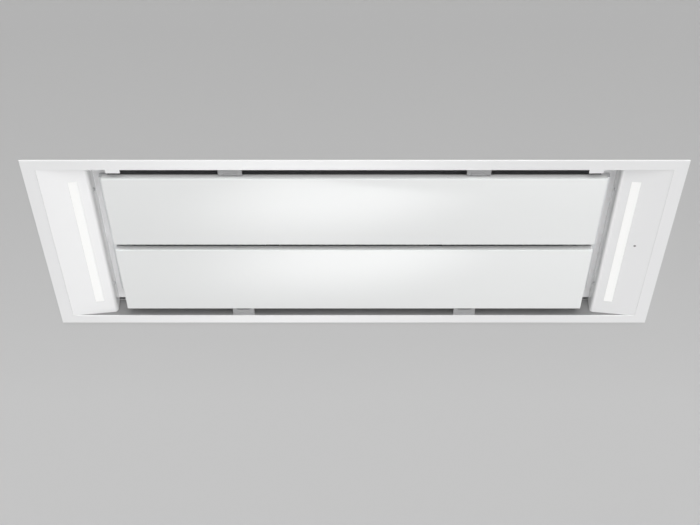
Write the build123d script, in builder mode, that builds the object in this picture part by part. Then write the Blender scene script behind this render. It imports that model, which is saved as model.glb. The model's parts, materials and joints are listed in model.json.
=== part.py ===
from build123d import *
import math
import os

os.makedirs("parts", exist_ok=True)

# A ceiling hood in millimetres. z = 0 is the underside that is seen from the room and +Z points up
# into the ceiling. X runs along the hood, and -Y is its near long side. The origin is the middle of
# the underside. "Across" is a distance from the middle line, the same on the near and far sides.

# Visible frame
frame_length = 1200.0
frame_depth = 500.0
rim_width = 25.0
rim_sheet = 1.5
rim_lip_height = 2.0
rim_edge_round = 0.6
rim_tab_from_middle = 436.0
rim_tab_length = 26.0
rim_tab_reach = 9.0
seam = 0.3

# Recess that holds the panels
recess_sheet = 1.2
recess_height = 41.0
recess_lip_gap = 0.3

# Sloping light plates at both ends
light_plate_reach = 92.0
light_plate_rise = 10.0
light_plate_sheet = 1.2
light_plate_bend = 8.0

# Lights
diffuser_length = 368.0
diffuser_width = 17.0
diffuser_from_fold = 60.0
diffuser_clearance = 0.2
diffuser_corner = 1.0
diffuser_flange = 3.0
diffuser_flange_sheet = 1.5
housing_margin = 1.0
housing_wall = 1.0
housing_height = 14.0
led_board_length = 360.0
led_board_width = 10.0
led_board_sheet = 1.6
led_count = 24
led_pitch = 15.0
led_size = 5.0
led_height = 1.2

# Receiver lens in the right light plate
receiver_from_fold = 35.0
receiver_radius = 2.5
receiver_flange = 1.5
receiver_depth = 3.0
receiver_clearance = 0.2

# Panels
panel_gap_side = 25.0
panel_gap_end = 23.0
panel_gap_middle = 18.0
panel_thickness = 12.5
glass_thickness = 4.0
glass_chamfer = 0.5
tray_inset = 1.0
tray_sheet = 1.0
tray_flange = 8.0

# Hinges
hinge_spacing = 451.0
hinge_width = 44.0
hinge_leaf_width = 26.0
hinge_side_clearance = 0.3
hinge_axis_from_panel = 6.0
hinge_axis_height = 9.0
hinge_pin_radius = 2.0
hinge_pin_clearance = 0.03
hinge_knuckle_radius = 4.0
hinge_leaf_sheet = 1.5
hinge_leaf_reach = 41.0
hinge_leaf_foot = 3.0
bracket_back_sheet = 2.0
bracket_back_top = 38.0
bracket_ear_bottom = 5.0
bracket_ear_top = 17.0
bracket_web_sheet = 3.0
bracket_web_from_axis = 3.0
bracket_floor_sheet = 1.5
bracket_floor_from_axis = 4.6
bracket_back_bottom = 2.0

# Magnet catches
catch_from_panel_edge = 21.0
catch_corner = 2.0
catch_head_length = 26.0
catch_head_width = 16.0
catch_head_top = 26.0
catch_post_thickness = 6.0
catch_gap = 0.3

# Filters
filter_from_recess_end = 7.0
filter_from_opening_side = 53.5
filter_spacing = 10.0
filter_thickness = 10.0
filter_bottom = 29.5
filter_bar = 8.0
filter_seat = 7.0
filter_plate_sheet = 1.2
corner_slot_length = 17.0
corner_slot_width = 8.0
mesh_gap = 0.2
mesh_sheet = 1.0
mesh_bottom = 31.4
mesh_top = 38.8
mesh_folds = 22
latch_pad_length = 58.0
latch_pad_margin = 5.0
latch_pad_sheet = 1.5
latch_setback = 2.4
latch_length = 40.0
latch_depth = 22.0
latch_thickness = 2.8
latch_lift_gap = 0.2
latch_grip_length = 30.0
latch_grip_depth = 5.0
latch_grip_height = 4.0
latch_tongue_length = 20.0
latch_tongue_past_rail = 3.0
latch_travel = 7.0
latch_side_gap = 0.3
latch_guide_width = 3.5
rail_sheet = 1.2
rail_gap = 0.5
rail_bottom = 24.5
rail_flange = 12.0
rail_from_panel_end = 5.0
rail_slot_gap = 0.4
far_rail_lip = 7.0
far_rail_lip_gap = 0.3

# Casing above the ceiling
casing_past_opening = 5.0
casing_height = 310.0
casing_sheet = 1.2
casing_flange = 15.0
casing_gap = 0.3
side_flange_inset = 30.0
end_flange_inset = 40.0

# Hanging brackets
hanger_from_side = 80.0
hanger_width = 40.0
hanger_sheet = 2.0
hanger_reach = 19.0
hanger_height = 50.0
hanger_top = 250.0
hanger_hole_radius = 4.5
hanger_hole_from_wall = 11.0

# Blower with two inlets, its axle along X
scroll_radius = 122.0
scroll_step = 12.0
scroll_cutoff_radius = 12.0
scroll_width = 164.0
scroll_sheet = 1.2
scroll_lift = 20.0
inlet_radius = 58.0
inlet_ring_length = 6.0
impeller_radius = 80.0
impeller_inner_radius = 68.0
impeller_width = 150.0
impeller_ring_sheet = 3.0
impeller_disc_sheet = 2.0
impeller_blades = 36
impeller_blade_chord = 10.0
impeller_blade_sheet = 1.2
impeller_blade_angle = 35.0
hub_radius = 14.0
hub_length = 40.0
shaft_radius = 4.0
shaft_seat_clearance = 0.02
shaft_running_clearance = 0.04
motor_radius = 45.0
motor_length = 50.0
motor_boss_radius = 18.0
motor_boss_length = 6.0
motor_from_side = 18.0
motor_rib_count = 16
motor_rib_height = 2.5
motor_rib_width = 2.0
motor_bracket_ring = 6.0
motor_bracket_sheet = 4.0
motor_bracket_arm = 14.0
motor_bracket_reach = 90.0
motor_bracket_legs = 3
motor_bracket_clearance = 0.1

# Outlet collar and damper
collar_radius = 74.5
collar_sheet = 1.2
collar_height = 50.0
collar_flange_width = 15.0
collar_screw_radius = 82.0
damper_height = 12.5
damper_seat_width = 3.3
damper_seat_sheet = 1.5
damper_seat_gap = 0.3
damper_pin_radius = 1.5
damper_pin_clearance = 0.04
damper_barrel_radius = 3.0
damper_barrel_length = 25.0
damper_barrel_gap = 2.0
damper_barrels = 4
flap_sheet = 1.0
flap_edge_gap = 0.6
flap_from_pin = 4.0

# Screws
screw_shank_radius = 1.8
screw_hole_radius = 2.0
screw_length = 8.0
screw_head_radius = 3.5
screw_head_height = 2.0
side_screw_from_end = 70.0
side_screws = 4
end_screw_from_side = 130.0
end_screws = 2
wall_screw_from_side = 80.0
wall_screw_height = 23.0

# Electrics
control_box_length = 96.0
control_box_depth = 150.0
control_box_height = 55.0
control_box_wall = 2.0
control_box_from_wall = 9.0
lid_sheet = 2.0
lid_lip = 4.0
lid_lip_gap = 0.3
post_height = 6.0
post_radius = 3.0
board_length = 80.0
board_depth = 134.0
board_sheet = 1.6
board_margin = 5.0
relay_length = 20.0
relay_depth = 16.0
relay_height = 15.0
relay_pitch = 30.0
relay_count = 3
relay_from_middle = 20.0
relay_row_shift = -5.0
transformer_length = 34.0
transformer_depth = 26.0
transformer_height = 24.0
transformer_from_middle = 16.0
transformer_across = 50.0
capacitor_radius = 5.5
capacitor_height = 20.0
capacitor_pitch = 14.0
capacitor_from_middle = 15.0
capacitor_across = 45.0
terminal_length = 20.0
terminal_depth = 60.0
terminal_height = 16.0
terminal_from_middle = 22.0
terminal_ways = 5
terminal_hole_radius = 3.0
gland_height = 180.0
gland_thread_radius = 10.0
gland_hole_radius = 10.2
gland_bore_radius = 5.0
gland_hex_across = 24.0
gland_hex_length = 6.0
gland_cap_radius = 11.0
gland_cap_length = 9.0
gland_cap_taper = 8.0
gland_nut_length = 5.0
driver_length = 80.0
driver_depth = 160.0
driver_height = 28.0
driver_foot = 14.0
driver_foot_sheet = 2.0
driver_from_wall = 17.0

# Worked out from the sizes above
opening_length = frame_length - 2 * rim_width
opening_depth = frame_depth - 2 * rim_width
recess_length = opening_length - 2 * light_plate_reach
light_angle = math.atan2(light_plate_rise, light_plate_reach)
light_slope_length = math.hypot(light_plate_reach, light_plate_rise)
light_bend_angle = math.pi / 2 - light_angle
light_bend_reach = light_plate_bend * math.tan(light_bend_angle / 2)
diffuser_place = diffuser_from_fold / math.cos(light_angle)
receiver_place = receiver_from_fold / math.cos(light_angle)
wall_screw_across = opening_depth / 2 - wall_screw_from_side
panel_length = recess_length - 2 * panel_gap_end
panel_depth = (opening_depth - 2 * panel_gap_side - panel_gap_middle) / 2
panel_across = (panel_gap_middle + panel_depth) / 2
hinge_axis_across = opening_depth / 2 - panel_gap_side + hinge_axis_from_panel
filter_names = ["left", "middle", "right"]
filter_pitch = (recess_length - 2 * filter_from_recess_end) / len(filter_names)
filter_length = filter_pitch - filter_spacing
filter_depth = opening_depth - 2 * filter_from_opening_side
filter_plate_top = recess_height + filter_plate_sheet
rail_across = filter_depth / 2 + rail_gap
catch_across = panel_gap_middle / 2 + catch_from_panel_edge
casing_length = opening_length + 2 * casing_past_opening
casing_depth = opening_depth + 2 * casing_past_opening
casing_ceiling = casing_height - casing_sheet
hanger_spread = casing_depth - 2 * hanger_from_side
control_box_at = casing_sheet + control_box_from_wall + control_box_length / 2 - casing_length / 2
driver_at = casing_length / 2 - casing_sheet - driver_from_wall - driver_length / 2
fan_axis_height = filter_plate_top + scroll_lift + scroll_radius - scroll_step / 2 + scroll_sheet / 2
neck_outer_offset = scroll_step / 2 + scroll_radius
neck_inner_offset = scroll_cutoff_radius - scroll_step / 2
fan_axis_y = -(neck_outer_offset + neck_inner_offset) / 2
damper_axis_height = casing_height + damper_height
hinge_places = [-hinge_spacing / 2, hinge_spacing / 2]
filter_places = {name: (order - 1) * filter_pitch for order, name in enumerate(filter_names)}
ends = {"left": -1, "right": 1}
long_sides = {"near": -1, "far": 1}


def finish(piece, name):
    """Label a finished sub-part and write it to its own file."""
    piece.part.label = name
    export_step(piece.part, f"parts/{name}.step")


def light_plane(end, height=0.0):
    """Plane of a light plate: local x runs up the slope from the fold, and z points into the hood."""
    slope = Vector(-end * math.cos(light_angle), 0, math.sin(light_angle))
    normal = Vector(end * math.sin(light_angle), 0, math.cos(light_angle))
    return Plane(origin=(end * opening_length / 2, 0, 0), x_dir=slope, z_dir=normal).offset(height)


def light_section(end):
    """Plane of a light plate's cross-section: local x runs up the slope, and local y into the hood."""
    slope = Vector(-end * math.cos(light_angle), 0, math.sin(light_angle))
    return Plane(origin=(end * opening_length / 2, 0, 0), x_dir=slope, z_dir=(0, end, 0))


def cross_plane(side, along=0.0):
    """Plane across the hood: local x is the distance from the middle line, and local y is height."""
    return Plane(origin=(along, 0, 0), x_dir=(0, side, 0), z_dir=(side, 0, 0))


def end_plane(end, at, height=0.0):
    """Plane facing out of an end of the hood, at a distance from the middle."""
    return Plane(origin=(end * at, 0, height), x_dir=(0, end, 0), z_dir=(end, 0, 0))


def casing_screw_places():
    """Places of the casing's screws on its top sheet."""
    side_across = (casing_depth - casing_flange) / 2 - casing_sheet
    end_across = (casing_length - casing_flange) / 2 - casing_sheet
    side_pitch = (casing_length - 2 * side_screw_from_end) / (side_screws - 1)
    end_pitch = (casing_depth - 2 * end_screw_from_side) / (end_screws - 1)
    side_rows = GridLocations(side_pitch, 2 * side_across, side_screws, 2)
    end_rows = GridLocations(2 * end_across, end_pitch, 2, end_screws)
    return list(side_rows) + list(end_rows)


def collar_screw_places():
    """Places of the four screws in the collar's flange."""
    return list(PolarLocations(collar_screw_radius, 4, 45))


# ---- Frame and recess ----

with BuildPart() as frame_rim:
    with BuildSketch():
        Rectangle(frame_length, frame_depth)
        Rectangle(opening_length, opening_depth, mode=Mode.SUBTRACT)
        with Locations((0, -opening_depth / 2)):
            with GridLocations(2 * rim_tab_from_middle, 1, 2, 1):
                Rectangle(rim_tab_length, rim_tab_reach, align=(Align.CENTER, Align.MIN))
    extrude(amount=rim_sheet)
    with BuildSketch(Plane.XY.offset(rim_sheet)):
        Rectangle(frame_length, frame_depth)
        Rectangle(frame_length - 2 * rim_sheet, frame_depth - 2 * rim_sheet, mode=Mode.SUBTRACT)
    extrude(amount=rim_lip_height - rim_sheet)
    outer_wall = frame_rim.faces().sort_by(Axis.Z)[0].outer_wire()
    fillet(outer_wall.edges(), radius=rim_edge_round)
finish(frame_rim, "frame_rim")

for name, end in ends.items():
    bend_start = light_slope_length - light_bend_reach
    plate_width = opening_depth - 2 * seam

    with BuildPart() as light_plate:
        with BuildSketch(light_plane(end)):
            with Locations((seam, 0)):
                Rectangle(bend_start - seam, plate_width, align=(Align.MIN, Align.CENTER))
            with Locations((diffuser_place, 0)):
                RectangleRounded(
                    diffuser_width + 2 * diffuser_clearance,
                    diffuser_length + 2 * diffuser_clearance,
                    diffuser_corner + diffuser_clearance,
                    mode=Mode.SUBTRACT,
                )
            if name == "right":
                with Locations((receiver_place, 0)):
                    Circle(receiver_radius + receiver_clearance, mode=Mode.SUBTRACT)
        extrude(amount=light_plate_sheet)
        with BuildSketch(light_section(end)):
            with BuildLine():
                bend_middle = (bend_start, light_plate_bend)
                turn = math.degrees(light_bend_angle)
                lower_arc = CenterArc(bend_middle, light_plate_bend, -90, turn)
                upper_arc = CenterArc(bend_middle, light_plate_bend - light_plate_sheet, -90, turn)
                Line(lower_arc @ 0, upper_arc @ 0)
                Line(lower_arc @ 1, upper_arc @ 1)
            make_face()
        extrude(amount=plate_width / 2, both=True)
    finish(light_plate, f"{name}_light_plate")

    with BuildPart() as diffuser:
        with BuildSketch(light_plane(end)):
            with Locations((diffuser_place, 0)):
                RectangleRounded(diffuser_width, diffuser_length, diffuser_corner)
        extrude(amount=light_plate_sheet)
        with BuildSketch(light_plane(end, light_plate_sheet)):
            with Locations((diffuser_place, 0)):
                RectangleRounded(
                    diffuser_width + 2 * diffuser_flange,
                    diffuser_length + 2 * diffuser_flange,
                    diffuser_corner,
                )
        extrude(amount=diffuser_flange_sheet)
    finish(diffuser, f"{name}_light_diffuser")

    with BuildPart() as lamp_housing:
        housing_inner_width = diffuser_width + 2 * (diffuser_flange + housing_margin)
        housing_inner_length = diffuser_length + 2 * (diffuser_flange + housing_margin)
        with BuildSketch(light_plane(end, light_plate_sheet)):
            with Locations((diffuser_place, 0)):
                Rectangle(housing_inner_width + 2 * housing_wall, housing_inner_length + 2 * housing_wall)
        extrude(amount=housing_height)
        with BuildSketch(light_plane(end, light_plate_sheet)):
            with Locations((diffuser_place, 0)):
                Rectangle(housing_inner_width, housing_inner_length)
        extrude(amount=housing_height - housing_wall, mode=Mode.SUBTRACT)
    finish(lamp_housing, f"{name}_lamp_housing")

    with BuildPart() as led_strip:
        board_top = light_plate_sheet + housing_height - housing_wall
        with BuildSketch(light_plane(end, board_top)):
            with Locations((diffuser_place, 0)):
                Rectangle(led_board_width, led_board_length)
        extrude(amount=-led_board_sheet)
        with BuildSketch(light_plane(end, board_top - led_board_sheet)):
            with Locations((diffuser_place, 0)):
                with GridLocations(1, led_pitch, 1, led_count):
                    Rectangle(led_size, led_size)
        extrude(amount=-led_height)
    finish(led_strip, f"{name}_led_strip")

    with BuildPart() as end_recess_wall:
        wall_length = opening_depth - 2 * seam
        wall_inner = recess_length / 2
        wall_bottom = light_plate_rise + light_bend_reach + seam
        with BuildSketch(end_plane(end, wall_inner)):
            with Locations((0, wall_bottom)):
                Rectangle(wall_length, recess_height - wall_bottom, align=(Align.CENTER, Align.MIN))
            with Locations((-wall_screw_across, wall_screw_height), (wall_screw_across, wall_screw_height)):
                Circle(screw_hole_radius, mode=Mode.SUBTRACT)
        extrude(amount=recess_sheet)
        with BuildSketch(end_plane(end, wall_inner)):
            with Locations((0, recess_height - recess_sheet)):
                Rectangle(wall_length, recess_sheet, align=(Align.CENTER, Align.MIN))
        extrude(amount=casing_flange)
    finish(end_recess_wall, f"{name}_recess_wall")

with BuildPart() as receiver_window:
    with BuildSketch(light_plane(1)):
        with Locations((receiver_place, 0)):
            Circle(receiver_radius)
    extrude(amount=receiver_depth)
    with BuildSketch(light_plane(1, light_plate_sheet)):
        with Locations((receiver_place, 0)):
            Circle(receiver_radius + receiver_flange)
    extrude(amount=receiver_depth - light_plate_sheet)
finish(receiver_window, "receiver_window")

for name, side in long_sides.items():
    with BuildPart() as long_recess_wall:
        lip_reach = casing_depth / 2 - casing_sheet - recess_lip_gap - opening_depth / 2
        with BuildSketch(cross_plane(side)):
            with Locations((opening_depth / 2, rim_sheet)):
                Rectangle(recess_sheet, recess_height - rim_sheet, align=Align.MIN)
            with Locations((opening_depth / 2, recess_height - recess_sheet)):
                Rectangle(lip_reach, recess_sheet, align=Align.MIN)
        extrude(amount=opening_length / 2, both=True)
    finish(long_recess_wall, f"{name}_recess_wall")

with BuildPart() as recess_wall_screws:
    for end in ends.values():
        with BuildSketch(end_plane(end, recess_length / 2, wall_screw_height)):
            with Locations((-wall_screw_across, 0), (wall_screw_across, 0)):
                Circle(screw_shank_radius)
        extrude(amount=screw_length)
        with BuildSketch(end_plane(end, recess_length / 2, wall_screw_height)):
            with Locations((-wall_screw_across, 0), (wall_screw_across, 0)):
                Circle(screw_head_radius)
        extrude(amount=-screw_head_height)
finish(recess_wall_screws, "recess_wall_screws")

with BuildPart() as filter_plate:
    plate_inset = 2 * (casing_sheet + casing_gap)
    with BuildSketch(Plane.XY.offset(recess_height)):
        Rectangle(casing_length - plate_inset, casing_depth - plate_inset)
        with GridLocations(filter_pitch, 1, len(filter_places), 1):
            Rectangle(filter_length - 2 * filter_seat, filter_depth - 2 * filter_seat, mode=Mode.SUBTRACT)
        with Locations((0, opening_depth / 2)):
            with GridLocations(recess_length - corner_slot_length, 1, 2, 1):
                Rectangle(
                    corner_slot_length, corner_slot_width, align=(Align.CENTER, Align.MAX), mode=Mode.SUBTRACT
                )
    extrude(amount=filter_plate_sheet)
finish(filter_plate, "filter_plate")

with BuildPart() as filter_rails:
    rail_length = panel_length - 2 * rail_from_panel_end
    rail_height = recess_height - rail_bottom
    for side in long_sides.values():
        with BuildSketch(cross_plane(side)):
            with Locations((rail_across, rail_bottom)):
                Rectangle(rail_sheet, rail_height, align=Align.MIN)
            with Locations((rail_across, recess_height)):
                Rectangle(rail_flange, rail_sheet, align=(Align.MIN, Align.MAX))
        extrude(amount=rail_length / 2, both=True)
    with BuildSketch(cross_plane(1)):
        with Locations((rail_across + rail_sheet, filter_bottom - far_rail_lip_gap)):
            Rectangle(far_rail_lip + rail_sheet, rail_sheet, align=Align.MAX)
    extrude(amount=rail_length / 2, both=True)
    slot_bottom = filter_bottom - latch_lift_gap - latch_thickness - rail_slot_gap
    slot_height = latch_thickness + 2 * rail_slot_gap
    for place in filter_places.values():
        with BuildSketch(Plane.XZ.offset(rail_across)):
            with Locations((place, slot_bottom)):
                Rectangle(
                    latch_tongue_length + 2 * rail_slot_gap, slot_height, align=(Align.CENTER, Align.MIN)
                )
        extrude(amount=rail_sheet, mode=Mode.SUBTRACT)
finish(filter_rails, "filter_rails")


# ---- Panels and hinges ----

for name, side in long_sides.items():
    panel_middle = (0, side * panel_across)

    with BuildPart() as panel_glass:
        with BuildSketch():
            with Locations(panel_middle):
                Rectangle(panel_length, panel_depth)
        extrude(amount=glass_thickness)
        lower_edges = panel_glass.edges().group_by(Axis.Z)[0]
        chamfer(lower_edges, length=glass_chamfer)
    finish(panel_glass, f"{name}_panel_glass")

    with BuildPart() as panel_tray:
        tray_length = panel_length - 2 * tray_inset
        tray_depth = panel_depth - 2 * tray_inset
        with BuildSketch(Plane.XY.offset(glass_thickness)):
            with Locations(panel_middle):
                Rectangle(tray_length, tray_depth)
        extrude(amount=panel_thickness - glass_thickness)
        with BuildSketch(Plane.XY.offset(glass_thickness + tray_sheet)):
            with Locations(panel_middle):
                Rectangle(tray_length - 2 * tray_sheet, tray_depth - 2 * tray_sheet)
        extrude(amount=panel_thickness - glass_thickness - 2 * tray_sheet, mode=Mode.SUBTRACT)
        with BuildSketch(Plane.XY.offset(glass_thickness)):
            with Locations(panel_middle):
                Rectangle(tray_length - 2 * tray_flange, tray_depth - 2 * tray_flange)
        extrude(amount=tray_sheet, mode=Mode.SUBTRACT)
    finish(panel_tray, f"{name}_panel_tray")

    with BuildPart() as hinge_leaves:
        for place in hinge_places:
            with BuildSketch(cross_plane(side, place)):
                with Locations((hinge_axis_across, panel_thickness)):
                    Rectangle(hinge_leaf_reach, hinge_leaf_sheet, align=(Align.MAX, Align.MIN))
                with Locations((hinge_axis_across, hinge_axis_height)):
                    foot_height = panel_thickness + hinge_leaf_sheet - hinge_axis_height
                    Rectangle(hinge_leaf_foot, foot_height, align=(Align.MAX, Align.MIN))
                    Circle(hinge_knuckle_radius)
                    Circle(hinge_pin_radius + hinge_pin_clearance, mode=Mode.SUBTRACT)
            extrude(amount=hinge_leaf_width / 2, both=True)
    finish(hinge_leaves, f"{name}_hinge_leaves")

with BuildPart() as hinge_brackets:
    wall_across = opening_depth / 2
    ear_width = (hinge_width - hinge_leaf_width) / 2 - hinge_side_clearance
    ear_shift = (hinge_width - ear_width) / 2
    back_across = wall_across - bracket_back_sheet
    web_bottom = bracket_ear_top - bracket_web_sheet
    for side in long_sides.values():
        for place in hinge_places:
            with BuildSketch(cross_plane(side, place)):
                with Locations((back_across, bracket_back_bottom)):
                    Rectangle(bracket_back_sheet, bracket_back_top - bracket_back_bottom, align=Align.MIN)
                with Locations((hinge_axis_across + bracket_web_from_axis, web_bottom)):
                    Rectangle(
                        back_across - hinge_axis_across - bracket_web_from_axis,
                        bracket_web_sheet,
                        align=Align.MIN,
                    )
                with Locations((hinge_axis_across + bracket_floor_from_axis, bracket_ear_bottom)):
                    Rectangle(
                        back_across - hinge_axis_across - bracket_floor_from_axis,
                        bracket_floor_sheet,
                        align=Align.MIN,
                    )
            extrude(amount=hinge_width / 2, both=True)
            for shift in (-ear_shift, ear_shift):
                with BuildSketch(cross_plane(side, place + shift)):
                    with Locations((hinge_axis_across, bracket_ear_bottom)):
                        Rectangle(
                            back_across - hinge_axis_across,
                            bracket_ear_top - bracket_ear_bottom,
                            align=Align.MIN,
                        )
                    with Locations((hinge_axis_across, hinge_axis_height)):
                        Circle(hinge_knuckle_radius)
                        Circle(hinge_pin_radius + hinge_pin_clearance, mode=Mode.SUBTRACT)
                extrude(amount=ear_width / 2, both=True)
finish(hinge_brackets, "hinge_brackets")

with BuildPart() as hinge_pins:
    for side in long_sides.values():
        for place in hinge_places:
            with BuildSketch(cross_plane(side, place)):
                with Locations((hinge_axis_across, hinge_axis_height)):
                    Circle(hinge_pin_radius)
            extrude(amount=hinge_width / 2, both=True)
finish(hinge_pins, "hinge_pins")

with BuildPart() as panel_catches:
    catch_bottom = panel_thickness + catch_gap
    with BuildSketch(Plane.XY.offset(catch_bottom)):
        with GridLocations(filter_pitch, 2 * catch_across, 2, 2):
            RectangleRounded(catch_head_length, catch_head_width, catch_corner)
    extrude(amount=catch_head_top - catch_bottom)
    with BuildSketch(Plane.XY.offset(catch_head_top)):
        with GridLocations(filter_pitch, 2 * catch_across, 2, 2):
            Rectangle(catch_post_thickness, catch_head_width)
    extrude(amount=recess_height - catch_head_top)
finish(panel_catches, "panel_catches")


# ---- Filters ----

for name, place in filter_places.items():
    near_edge = -filter_depth / 2
    latch_top = filter_bottom - latch_lift_gap
    latch_middle_y = near_edge + latch_setback + latch_depth / 2
    latch_pad_depth = latch_setback + latch_depth + latch_travel + latch_pad_margin
    guide_shift = latch_length / 2 + latch_side_gap + latch_guide_width / 2

    with BuildPart() as filter_frame:
        with BuildSketch(Plane.XY.offset(filter_bottom)):
            with Locations((place, 0)):
                Rectangle(filter_length, filter_depth)
                Rectangle(filter_length - 2 * filter_bar, filter_depth - 2 * filter_bar, mode=Mode.SUBTRACT)
        extrude(amount=filter_thickness)
        with BuildSketch(Plane.XY.offset(filter_bottom)):
            with Locations((place, near_edge)):
                Rectangle(latch_pad_length, latch_pad_depth, align=(Align.CENTER, Align.MIN))
        extrude(amount=latch_pad_sheet)
        with BuildSketch(Plane.XY.offset(filter_bottom)):
            with Locations((place - guide_shift, near_edge), (place + guide_shift, near_edge)):
                Rectangle(latch_guide_width, latch_pad_depth, align=(Align.CENTER, Align.MIN))
        extrude(amount=-latch_thickness - latch_lift_gap)
    finish(filter_frame, f"{name}_filter_frame")

    with BuildPart() as filter_mesh:
        inner_length = filter_length - 2 * filter_bar - 2 * mesh_gap
        inner_depth = filter_depth - 2 * filter_bar - 2 * mesh_gap
        fold = inner_length / mesh_folds
        fold_high = mesh_top - mesh_sheet
        folds = []
        for step in range(mesh_folds + 1):
            height = mesh_bottom if step % 2 == 0 else fold_high
            folds.append((place - inner_length / 2 + fold * step, height))
        with BuildSketch(Plane.XZ):
            with BuildLine():
                Polyline(*folds)
                Polyline(*[(x, z + mesh_sheet) for x, z in folds])
                Line(folds[0], (folds[0][0], folds[0][1] + mesh_sheet))
                Line(folds[-1], (folds[-1][0], folds[-1][1] + mesh_sheet))
            make_face()
        extrude(amount=inner_depth / 2, both=True)
    finish(filter_mesh, f"{name}_filter_mesh")

    with BuildPart() as filter_latch:
        latch_near_y = latch_middle_y - latch_depth / 2
        tongue_tip_y = -rail_across - rail_sheet - latch_tongue_past_rail
        with BuildSketch(Plane.XY.offset(latch_top)):
            with Locations((place, latch_middle_y)):
                Rectangle(latch_length, latch_depth)
            with Locations((place, tongue_tip_y)):
                Rectangle(
                    latch_tongue_length, latch_near_y - tongue_tip_y, align=(Align.CENTER, Align.MIN)
                )
        extrude(amount=-latch_thickness)
        with BuildSketch(Plane.XY.offset(latch_top - latch_thickness)):
            with Locations((place, latch_middle_y)):
                SlotOverall(latch_grip_length, latch_grip_depth)
        extrude(amount=-latch_grip_height)
    finish(filter_latch, f"{name}_filter_latch")


# ---- Casing ----

with BuildPart() as casing_top:
    with BuildSketch(Plane.XY.offset(casing_ceiling)):
        Rectangle(casing_length, casing_depth)
        Circle(collar_radius - collar_sheet, mode=Mode.SUBTRACT)
        with Locations(*casing_screw_places()):
            Circle(screw_hole_radius, mode=Mode.SUBTRACT)
        with Locations(*collar_screw_places()):
            Circle(screw_hole_radius, mode=Mode.SUBTRACT)
    extrude(amount=casing_sheet)
finish(casing_top, "casing_top")

for name, side in long_sides.items():
    with BuildPart() as casing_side:
        with BuildSketch(cross_plane(side)):
            with Locations((casing_depth / 2, rim_sheet)):
                Rectangle(casing_sheet, casing_ceiling - rim_sheet, align=(Align.MAX, Align.MIN))
        extrude(amount=casing_length / 2, both=True)
        with BuildSketch(Plane.XY.offset(casing_ceiling)):
            with Locations((0, side * (casing_depth - casing_flange) / 2)):
                Rectangle(casing_length - 2 * side_flange_inset, casing_flange)
            with Locations(*casing_screw_places()):
                Circle(screw_hole_radius, mode=Mode.SUBTRACT)
        extrude(amount=-casing_sheet)
    finish(casing_side, f"casing_{name}_wall")

for name, end in ends.items():
    with BuildPart() as casing_end:
        end_depth = casing_depth - 2 * casing_sheet
        with BuildSketch(end_plane(end, casing_length / 2 - casing_sheet)):
            with Locations((0, rim_sheet)):
                Rectangle(end_depth, casing_ceiling - rim_sheet, align=(Align.CENTER, Align.MIN))
            if name == "left":
                with Locations((0, gland_height)):
                    Circle(gland_hole_radius, mode=Mode.SUBTRACT)
        extrude(amount=casing_sheet)
        with BuildSketch(Plane.XY.offset(casing_ceiling)):
            with Locations((end * (casing_length - casing_flange) / 2, 0)):
                Rectangle(casing_flange, casing_depth - 2 * end_flange_inset)
            with Locations(*casing_screw_places()):
                Circle(screw_hole_radius, mode=Mode.SUBTRACT)
        extrude(amount=-casing_sheet)
    finish(casing_end, f"casing_{name}_wall")

with BuildPart() as suspension_brackets:
    for end in ends.values():
        for y in (-hanger_spread / 2, hanger_spread / 2):
            with BuildSketch(end_plane(end, casing_length / 2)):
                with Locations((end * y, hanger_top)):
                    Rectangle(hanger_width, hanger_height, align=(Align.CENTER, Align.MAX))
            extrude(amount=hanger_sheet)
            with BuildSketch(Plane.XY.offset(hanger_top)):
                with Locations((end * (casing_length / 2 + hanger_reach / 2), y)):
                    Rectangle(hanger_reach, hanger_width)
                with Locations((end * (casing_length / 2 + hanger_hole_from_wall), y)):
                    Circle(hanger_hole_radius, mode=Mode.SUBTRACT)
            extrude(amount=-hanger_sheet)
finish(suspension_brackets, "suspension_brackets")

with BuildPart() as casing_screws:
    with BuildSketch(Plane.XY.offset(casing_height)):
        with Locations(*casing_screw_places()):
            Circle(screw_head_radius)
    extrude(amount=screw_head_height)
    with BuildSketch(Plane.XY.offset(casing_height)):
        with Locations(*casing_screw_places()):
            Circle(screw_shank_radius)
    extrude(amount=-screw_length)
    with BuildSketch(Plane.XY.offset(casing_height + collar_sheet)):
        with Locations(*collar_screw_places()):
            Circle(screw_head_radius)
    extrude(amount=screw_head_height)
    with BuildSketch(Plane.XY.offset(casing_height + collar_sheet)):
        with Locations(*collar_screw_places()):
            Circle(screw_shank_radius)
    extrude(amount=-screw_length)
finish(casing_screws, "casing_screws")


# ---- Blower ----

def scroll_path():
    """The blower's spiral in the YZ plane, from the outer side of its neck round to the inner side."""
    start_y = fan_axis_y + neck_outer_offset
    outer_side = Line((start_y, casing_ceiling), (start_y, fan_axis_height + scroll_step / 2))
    first = JernArc(outer_side @ 1, outer_side % 1, scroll_radius, -90)
    second = JernArc(first @ 1, first % 1, scroll_radius - scroll_step, -90)
    third = JernArc(second @ 1, second % 1, scroll_radius - 2 * scroll_step, -90)
    cutoff = JernArc(third @ 1, third % 1, scroll_cutoff_radius, 90)
    inner_side = Line(cutoff @ 1, ((cutoff @ 1).X, casing_ceiling))
    return [outer_side, first, second, third, cutoff, inner_side]


with BuildPart() as blower_scroll:
    with BuildSketch(Plane.YZ):
        with BuildLine():
            scroll_path()
        trace(line_width=scroll_sheet)
    extrude(amount=scroll_width / 2, both=True)
finish(blower_scroll, "blower_scroll")

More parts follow.
